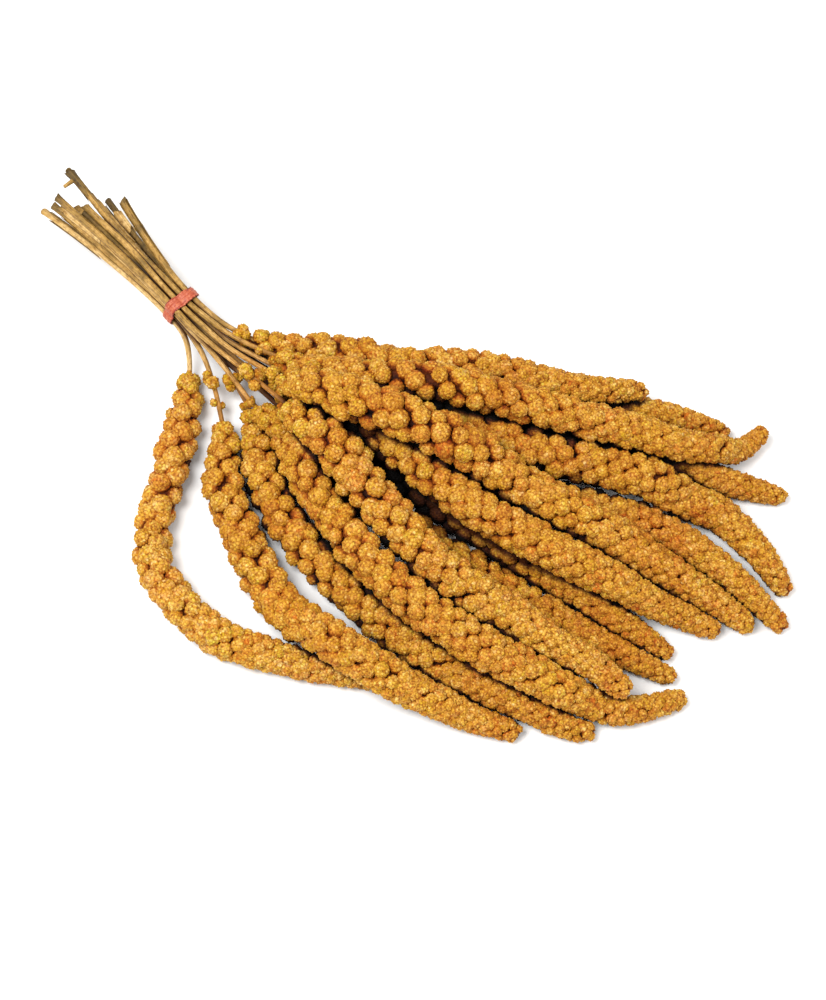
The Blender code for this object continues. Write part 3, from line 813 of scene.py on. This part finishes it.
# A head: every lobe is a copy of the ball of grains that comes nearest to the number of grains that its
# size calls for, in one of a few kinds.
def makeHead(index, strand, sky, material):
    draw = np.random.default_rng(heads["seed"] + index)
    full = strand["full"]
    fine = np.linspace(0.0, strand["along"][-1] - strand["foot"], settling["fineSteps"])
    centre = readAt(strand["foot"] + fine, strand["along"], strand["points"])
    frames = carriedFrames(centre)
    lobes = joinShapes([standLobes(fine, full, centre, frames, draw),
                        looseOnStalk(index, strand, frames, draw)])
    count, half = len(lobes["half"]), lobes["half"]
    middle, stray = heads["hue"]
    green = heads["greener"] * np.exp(-lobes["at"] / heads["greenLength"])
    lobes["hue"] = middle + draw.normal(0, stray, count) - green
    cap = fullTurn * (1 - math.cos(balls["widest"]))
    wanted = cap * half ** 2 / (closePacking * balls["grain"] ** 2)
    sizes = np.array(balls["sizes"])
    choice = sizes[np.argmin(np.abs(np.log(wanted[:, None] / sizes[None])), axis=1)]
    kinds = draw.integers(0, balls["kinds"], count)
    shapes = []
    for (size, kind), ball in grainBalls.items():
        some = (choice == size) & (kinds == kind)
        if some.any():
            shapes.append(raiseLobes(ball, {key: rows[some] for key, rows in lobes.items()}, draw))
    shapes.append(makeRachis(fine, full, centre, frames))
    head = joinShapes(shapes)
    corners = head["corners"]
    # The masks for the grain's painted shade: towards the rachis, on the lobes' lower sides, and where little
    # sky reaches.
    outness, daylight = shadeHead(corners, head["facing"], fine, full, centre, sky)
    corners[:, 2] = np.maximum(corners[:, 2], heads["aboveGround"])
    piece = makePiece(f"grainHead{index + 1:02d}", corners, head["faces"], material,
                      f"millet_head_{index + 1:02d}")
    # Lighter grain for some heads, and darker grain as painted shade for the two lying low under others.
    tone = np.clip(head["tone"] + heads["bleachAndShade"].get(index, 0.0), 0, 1)
    addAttributes(piece, "FACE", grainTone=tone, lobeHue=np.clip(head["hue"], 0, 1))
    addAttributes(piece, "POINT", grainHeight=head["height"], outness=outness, daylight=daylight)
    return piece


stalks = {
    "courseSeed": 900,
    "seed": 700,
    "sides": 14,
    "girth": (0.94, 1.10),
    "bow": (0.9, 0.5),  # sideways and upward, behind the tie
    "stray": 0.9,
    "intoHead": 14.0,
    "steps": (40, 6, 70),  # of its rough course behind, within and in front of the tie
    "smoothings": 3,
    "fineEnd": 8,
    "ringStep": 3.2,
    "slimmer": 0.27,  # towards the head
    "slimmerOver": 50.0,
    "jointed": 0.6,  # how many show a joint behind the tie
    "jointAt": (0.15, 0.8),
    "jointSwell": 0.22,
    "jointLength": 1.6,
    "flutes": ((0.05, 2), (0.035, 5)),  # depth and number of ridges: the first makes it oval
    "flare": 0.28,  # at the cut end
    "flareStray": (0.3, 1.2),
    "flareLength": 4.0,
    "slant": (0.4, 1.6),
    "ragged": 0.18,
    "slantLength": 5.0,
    "hollow": 0.5,
    "hollowDepth": 1.6,
    "tone": (-0.2, 0.18),
    "hollowPaintedShade": 0.25,
    "floorPaintedShade": 0.4,
    "jointDarker": 0.15,
    "jointReach": 1.2,
    "weathered": 0.06,  # behind the tie, and more so at the cut end
    "weatheredOver": 40.0,
    "endWeathered": 0.2,
    "endLength": 6.0,
    "ripe": (18.0, 70.0, 0.75),  # from how far in front of the tie, over what length, and how much
    "shadeReach": 3.6,
    "skyAbove": 1.5,
}

stub = {  # what is left of a side shoot, on one cut end
    "on": 13,
    "from": 7.0,
    "length": 8.5,
    "radius": (1.5, 1.1),
    "rings": 5,
    "sides": 10,
    "tone": 0.05,
}

sheaths = {
    "share": 0.8,  # how many of the stalks keep one
    "length": (16.0, 52.0),
    "starts": (-3.0, 10.0),  # from the cut end
    "reach": math.radians(240),
    "stand": 0.3,
    "closer": 0.35,  # how much less it stands off at its far end
    "thickness": 0.28,
    "rows": 14,
    "columns": 9,
    "ragged": (1.3, 2.5),  # at the cut end and the far end
    "curl": (0.7, 0.3),
    "tone": (-0.22, 0.12),
}


# What is left of a leaf's sheath: an open scroll round the stalk, a thin closed shell whose rows
# follow the stalk, with ragged ends that curl away from it.
def makeSheath(points, along, radius, frames, draw):
    length = draw.uniform(*sheaths["length"])
    first = draw.uniform(*sheaths["starts"])
    rows, columns = sheaths["rows"], sheaths["columns"]
    share = np.linspace(0, 1, rows)
    turn = draw.uniform(0, fullTurn) + np.linspace(-0.5, 0.5, columns) * sheaths["reach"]
    start, tail = (draw.normal(0, stray, columns) for stray in sheaths["ragged"])
    at = first + share[:, None] * length + start * (1 - share[:, None]) ** 4 + tail * share[:, None] ** 4
    near, far = sheaths["curl"]
    curl = near * draw.uniform(0.2, 1) * (1 - share) ** 6 + far * draw.uniform(0, 1) * share ** 6
    gap = sheaths["stand"] * (1 - sheaths["closer"] * share[:, None]) + curl[:, None]
    ahead, side, other = (readAt(at, along, directions) for directions in frames)
    # Past the cut end it goes straight on.
    middle = readAt(np.maximum(at, 0.0), along, points) + ahead * np.minimum(at, 0.0)[..., None]
    out = wayOut(side, other, turn)
    inner = middle + out * (np.interp(at, along, radius) + gap)[..., None]
    outer = inner + out * sheaths["thickness"]
    ring = np.concatenate([outer, inner[:, ::-1]], 1)
    around = 2 * columns
    faces = [ringFaces(rows, around)]
    j = np.arange(columns - 1)
    for row, flip in ((0, True), (rows - 1, False)):
        a, b = row * around + j, row * around + j + 1
        c, d = row * around + around - 2 - j, row * around + around - 1 - j
        cap = np.vstack([np.stack([a, b, c], 1), np.stack([a, c, d], 1)])
        faces.append(cap[:, ::-1] if flip else cap)
    lengthwise = np.concatenate([at, at[:, ::-1]], 1).ravel()
    corners = ring.reshape(-1, 3)
    return {"corners": corners, "faces": np.vstack(faces), "lengthwise": lengthwise,
            "around": np.tile(np.linspace(0.1, 0.9, around), rows),
            "tone": np.full(len(corners), draw.uniform(*sheaths["tone"])),
            "middles": readAt(lengthwise, along, points)}


# A short round stub that tapers as it stands off sideways.
def makeStub(points, along):
    rings, sides = stub["rings"], stub["sides"]
    way = np.linspace(0, 1, rings)
    run = readAt(stub["from"], along, points) - tieAcross * (way * stub["length"])[:, None]
    corners, faces = roundTube(run, np.interp(way, [0, 1], stub["radius"]), np.tile(tieAlong, (rings, 1)),
                               np.tile(up, (rings, 1)), sides)
    return {"corners": corners, "faces": faces,
            "lengthwise": np.r_[np.repeat(way * stub["length"], sides), 0.0, 0.0],
            "around": np.r_[np.tile(np.arange(sides) / sides, rings), 0.5, 0.5],
            "tone": np.full(len(corners), stub["tone"]),
            "middles": np.vstack([np.repeat(run, sides, 0), run[:1], run[-1:]])}


# The middle line of a stalk from its cut end, behind the tie, to well inside its head. Behind the tie
# the stalks spread and bow a little, each its own way.
def stalkCourse(index, strand):
    draw = np.random.default_rng(stalks["courseSeed"] + index)
    sideways, raised = strand["place"]
    start = tieAcross * sideways + up * (tie["height"] + raised)
    back = start - tieAlong * tie["halfLength"]
    behindSteps, tieSteps, frontSteps = stalks["steps"]
    rear = np.linspace(1.0, 0.0, behindSteps)[:-1, None]
    splay = (tieAcross * (sideways * (tie["splaySideways"] - 1) + tie["splaySwing"])
             + up * raised * (tie["splayUpward"] - 1))
    bow = tieAcross * draw.normal(0, stalks["bow"][0]) + up * draw.normal(0, stalks["bow"][1])
    behind = (back - tieAlong * (strand["behind"] - tie["halfLength"]) * rear
              + splay * rear ** tie["splayPower"] + bow * np.sin(rear * math.pi) ** 2
              + tieAcross * draw.normal(0, stalks["stray"]) * rear ** 2)
    inTie = back + (start - back) * np.linspace(0, 1, tieSteps)[:-1, None]
    end = strand["foot"] + stalks["intoHead"]
    forward = readAt(np.linspace(0.0, end, frontSteps), strand["along"], strand["points"])
    rough = np.vstack([behind, inTie, forward])
    along = distancesAlong(rough)
    # The rings are 1 mm apart at the cut end.
    fineEnd = stalks["fineEnd"]
    rings = np.r_[np.arange(fineEnd), np.arange(fineEnd, along[-1], stalks["ringStep"]), along[-1]]
    points = readAt(rings, along, rough)
    # A running mean takes the corners off where the straight ends meet the tie.
    for _ in range(stalks["smoothings"]):
        points[1:-1] = (points[:-2] + 2 * points[1:-1] + points[2:]) / 4
    return rings, points


# How open each corner of a stalk's skin is between its neighbours: 1 where none faces it, towards 0
# where one touches. Each neighbour in front of the corner takes away its share, which falls with the
# distance between the skins.
def opennessAmong(corners, middles, courses, index):
    outward = corners - middles
    outward /= np.maximum(np.linalg.norm(outward, axis=1), 0.05)[:, None]
    openness = np.ones(len(corners))
    for other, (_, course) in enumerate(courses):
        if other == index:
            continue
        apart = np.linalg.norm(corners[:, None] - course[None], axis=2)
        toward = course[np.argmin(apart, axis=1)] - corners
        distance = np.linalg.norm(toward, axis=1)
        facing = np.clip(np.einsum("ij,ij->i", toward, outward) / np.maximum(distance, 0.1) + 0.5, 0, 1)
        gap = np.clip((distance - tie["stalkRadius"]) / stalks["shadeReach"], 0, 1)
        openness *= 1 - facing * (1 - gap) ** 2
    return openness


# A stalk: a slightly fluted tube along the spray's course, swollen at its joint, cut aslant and a
# little crushed at its end, with a shallow hollow there.
def makeStalk(index, strand, courses, sky, material):
    draw = np.random.default_rng(stalks["seed"] + index)
    rings, points = courses[index]
    ahead, side, other = frames = carriedFrames(points)
    sides, behind = stalks["sides"], strand["behind"]
    girth = tie["stalkRadius"] * draw.uniform(*stalks["girth"])
    radius = girth * (1 - stalks["slimmer"] * smoothStep((rings - behind) / stalks["slimmerOver"]))
    # Where no joint shows, it counts as far behind the cut end.
    joint = draw.uniform(*stalks["jointAt"]) * behind if draw.random() < stalks["jointed"] else -math.inf
    radius = radius * (1 + stalks["jointSwell"] * np.exp(-((rings - joint) / stalks["jointLength"]) ** 2))
    flare = 1 + stalks["flare"] * draw.uniform(*stalks["flareStray"]) * np.exp(-rings / stalks["flareLength"])
    angle = np.arange(sides) * fullTurn / sides
    flute = sum((depth * np.cos(ridges * angle + draw.uniform(0, 6))
                 for depth, ridges in stalks["flutes"]), 1)
    body = (points[:, None] + wayOut(side[:, None], other[:, None], angle)
            * (radius * flare)[:, None, None] * flute[None, :, None])
    slant = np.cos(angle - draw.uniform(0, 6)) * draw.uniform(*stalks["slant"])
    slant = slant + draw.normal(0, stalks["ragged"], sides)
    fading = np.exp(-rings / stalks["slantLength"])[:, None]
    body = body + ahead[:, None] * (slant[None, :] * fading)[:, :, None]
    mouth = points[0] + (body[0] - points[0]) * stalks["hollow"]
    floor = mouth + ahead[0] * stalks["hollowDepth"]
    rows = len(points) + 2
    corners = np.vstack([floor, mouth, body.reshape(-1, 3), floor.mean(0)[None], points[-1:]])
    lengthwise = np.r_[np.zeros(2 * sides), np.repeat(rings, sides), 0.0, rings[-1]]
    tone = np.full(len(corners), draw.uniform(*stalks["tone"]))
    tone -= stalks["weathered"] * (1 - smoothStep((lengthwise - behind) / stalks["weatheredOver"]))
    # Painted shade in the hollow of the cut end, darkest in the middle of its floor.
    tone[:2 * sides] -= stalks["hollowPaintedShade"]
    tone[-2] -= stalks["floorPaintedShade"]
    tone -= np.where(np.abs(lengthwise - joint) < stalks["jointReach"], stalks["jointDarker"], 0.0)
    shapes = [{"corners": corners, "faces": tubeFaces(rows, sides), "lengthwise": lengthwise,
               "around": np.r_[np.tile(angle / fullTurn, rows), 0.5, 0.5], "tone": tone,
               "middles": np.vstack([np.repeat(points[:1], 2 * sides, 0), np.repeat(points, sides, 0),
                                     points[:1], points[-1:]])}]
    if draw.random() < sheaths["share"]:
        shapes.append(makeSheath(points, rings, radius, frames, draw))
    if index == stub["on"]:
        shapes.append(makeStub(points, rings))
    stalk = joinShapes(shapes)
    corners, faces, lengthwise = stalk["corners"], stalk["faces"], stalk["lengthwise"]
    piece = makePiece(f"strawStalk{index + 1:02d}", corners, faces, material,
                      f"stalk_{index + 1:02d}")
    used = faces.ravel()
    seam = stalk["around"][used].reshape(-1, 3)
    seam = np.where((seam.max(1) - seam.min(1) > 0.5)[:, None] & (seam < 0.5), seam + 1, seam)
    layer = piece.data.uv_layers.new(name="UVMap")
    layer.data.foreach_set("uv", np.stack([seam.ravel(), lengthwise[used]], 1).astype(np.float32).ravel())
    atEnd = np.exp(-np.maximum(lengthwise, 0) / stalks["endLength"])
    openness = opennessAmong(corners, stalk["middles"], courses, index)
    ripeFrom, ripeOver, ripest = stalks["ripe"]
    # The straw's painted shade: less sky, and neighbouring stalks facing it, make it darker.
    addAttributes(piece, "POINT", strawTone=stalk["tone"] - stalks["endWeathered"] * atEnd,
                  daylight=sampleSky(sky, corners + up * stalks["skyAbove"]) * openness,
                  ripeness=smoothStep((lengthwise - behind - ripeFrom) / ripeOver) * ripest)
    return piece


band = {
    "turns": 2,
    "pitch": 5.2,
    "halfWidth": 2.5,
    "thickness": 1.15,
    "clear": 0.15,
    "steps": 360,
    "crossingMiddle": math.radians(22),
    "crossingSpan": math.radians(85),
    "lift": 0.9,  # over its other turn, by its thickness
    "liftPower": 0.6,
    "hug": 3.5,  # the higher, the closer it follows each stalk
    "tightness": 0.8,  # how far out from their middles it is held, by a stalk's radius
    "unevenness": 0.3,
    "ripples": ((0.07, 9.5, 0.0), (0.06, 16.5, 1.0)),  # height, waves in a full turn, and phase
    "widthWaves": ((0.05, 4.5), (0.03, 29.5)),
    "underside": (-0.93, 0.93),
    "columns": 17,
    "cushion": 0.75,
    "folds": 1.4,
    "foldDepth": 0.45,
    "crinkle": 0.14,
}


# The rubber band: one closed strip wound twice round the stalks. Its place along the bundle drifts
# evenly away from the heads, and comes back where the strip crosses over its other turn. Its section
# is a low cushion with lengthwise folds, and its edges are crinkled by fine sines.
def makeBand(places, material):
    centres = np.array(list(places.values()))
    t = np.arange(band["steps"]) / band["steps"]
    share = band["crossingSpan"] / (fullTurn * band["turns"])
    turn = t * band["turns"] * fullTurn + band["crossingMiddle"] + band["crossingSpan"] / 2
    ways = np.stack([np.cos(turn), np.sin(turn)], 1)
    reach = np.log(np.exp((centres @ ways.T) * band["hug"]).sum(0)) / band["hug"]
    held = ways * (reach + tie["stalkRadius"] * band["tightness"])[:, None]
    crossing = np.clip((t - (1 - share)) / share, 0, 1)
    place = np.where(t < 1 - share, t / (1 - share), 1 - smoothStep(crossing))
    along = (0.5 - place) * band["pitch"]
    lift = band["thickness"] * band["lift"] * np.sin(crossing * math.pi) ** band["liftPower"]
    ripple = sum(height * np.sin(turn * waves + phase) for height, waves, phase in band["ripples"])
    outward = band["clear"] + lift + np.abs(ripple)
    wider = 1 + band["unevenness"] * np.cos((turn - band["crossingMiddle"]) / 2)
    wavy = sum((height * np.sin(turn * waves) for height, waves in band["widthWaves"]), 1)
    half = band["halfWidth"] * wider * wavy
    slope = np.gradient(along) / np.maximum(np.gradient(turn) * np.linalg.norm(held, axis=1), 1e-6)
    tangent = np.stack([-ways[:, 1], ways[:, 0]], 1)
    top = np.linspace(1, -1, band["columns"])
    cushion = np.sqrt(1 - band["cushion"] * top ** 2)
    profile = [(edge, 0.0) for edge in band["underside"]] + list(zip(top * 1.02, cushion, strict=True))
    rings, crease = [], []
    for across, high in profile:
        offset = across * half
        ridge = np.abs(np.sin(math.pi * (across * band["folds"] + 0.4 * np.sin(turn * 1.5)))) ** 0.6
        groove = band["foldDepth"] * (ridge - 1) * (high > 0)
        crinkle = band["crinkle"] * np.sin(turn * 41.5 + across) * (abs(across) > 0.85) * (high > 0)
        out = outward + high * band["thickness"] + groove + crinkle
        flat = held + ways * out[:, None] - tangent * (offset * slope * 0.6)[:, None]
        rings.append(tieAlong * (along + offset)[:, None] + tieAcross * flat[:, :1]
                     + up * (tie["height"] + flat[:, 1:]))
        # Painted shade: darker on the underside, towards the cushion's edges, down in the folds and in the
        # crinkles.
        crease.append(np.clip(high * 1.5 - 0.4 + (ridge - 1) * 0.9 + crinkle * 3.0, 0, 1))
    corners = np.vstack(rings)
    # The strip is closed both ways, so the last ring's faces count on into the first.
    faces = ringFaces(len(profile) + 1, len(t)) % len(corners)
    piece = makePiece("coralBand", corners, faces, material, "rubber_band")
    addAttributes(piece, "POINT", crease=np.concatenate(crease))
    return piece


# Turns a piece's faces to point out, from the sign of the volume they enclose.
def faceOutwards(piece):
    shape = bmesh.new()
    shape.from_mesh(piece.data)
    inside = shape.calc_volume(signed=True) < 0
    shape.free()
    if inside:
        piece.data.flip_normals()


studio = {  # the camera in millimetres, the lights in metres in the part's frame
    "azimuth": math.radians(35.0),
    "elevation": math.radians(65.0),
    "distance": 1320.0,
    "lens": 85.0,
    "lookAt": (181.9, -24.0, 25.0),
    "lights": {"keyLight": ((-0.35, -0.55, 1.5), 0.9, 26.0), "fillLight": ((1.2, 0.5, 1.2), 1.4, 9.0)},
    "lightsAim": (0.05, 0.0, 0.0),
    "skyStrength": 0.75,
    "floor": "#f7f7f6",
    "floorReach": 4,
}


def makeCamera():
    a, e = studio["azimuth"], studio["elevation"]
    back = np.array([math.sin(a) * math.cos(e), -math.cos(a) * math.cos(e), math.sin(e)])
    right = np.array([math.cos(a), math.sin(a), 0.0])
    place = (np.array(studio["lookAt"]) - planCentre + back * studio["distance"]) * metre
    data = bpy.data.cameras.new("camera")
    data.lens = studio["lens"]
    data.sensor_fit = "AUTO"
    data.clip_start = 0.05
    camera = addObject("camera", data)
    turned = np.eye(4)
    turned[:3] = np.stack([right, np.cross(back, right), back, place], 1)
    camera.matrix_world = Matrix(turned.tolist())
    bpy.context.scene.camera = camera


def makeLight(name, place, size, power):
    data = bpy.data.lights.new(name, "AREA")
    data.shape = "DISK"
    data.size = size
    data.energy = power
    light = addObject(name, data)
    light.location = place
    aim = Vector(studio["lightsAim"]) - light.location
    light.rotation_euler = aim.to_track_quat("-Z", "Y").to_euler()


def makeStudio():
    world = bpy.data.worlds.new("studioWorld")
    world.use_nodes = True
    sky = world.node_tree.nodes["Background"]
    sky.inputs["Color"].default_value = (1.0, 1.0, 1.0, 1.0)
    sky.inputs["Strength"].default_value = studio["skyStrength"]
    bpy.context.scene.world = world
    for name, (place, size, power) in studio["lights"].items():
        makeLight(name, place, size, power)
    mesh = bpy.data.meshes.new("studioFloor")
    r = studio["floorReach"]
    mesh.from_pydata([(-r, -r, 0), (r, -r, 0), (r, r, 0), (-r, r, 0)], [], [(0, 1, 2, 3)])
    material, _, shader = newMaterial("paleBoard", 0.9, 0.1)
    shader.inputs["Base Color"].default_value = linear(studio["floor"])
    mesh.materials.append(material)
    addObject("studioFloor", mesh)
    bpy.context.scene.view_settings.view_transform = "Standard"


makeCamera()
makeStudio()
print("studio ready")
places = tiePlaces()
strands = [laySpray(spray, places[i]) for i, spray in enumerate(sprays)]
makeRoom(strands)
print("sprays laid")
sky = makeSky(strands)
courses = [stalkCourse(index, strand) for index, strand in enumerate(strands)]
grain, straw, rubber = driedGrain(), dryStraw(), coralRubber()
total = 0
for index, strand in enumerate(strands):
    total += len(makeHead(index, strand, sky, grain).data.polygons)
    stalk = makeStalk(index, strand, courses, sky, straw)
    faceOutwards(stalk)
    total += len(stalk.data.polygons)
print("heads and stalks made,", total, "triangles")
faceOutwards(makeBand(places, rubber))
print("band wound")
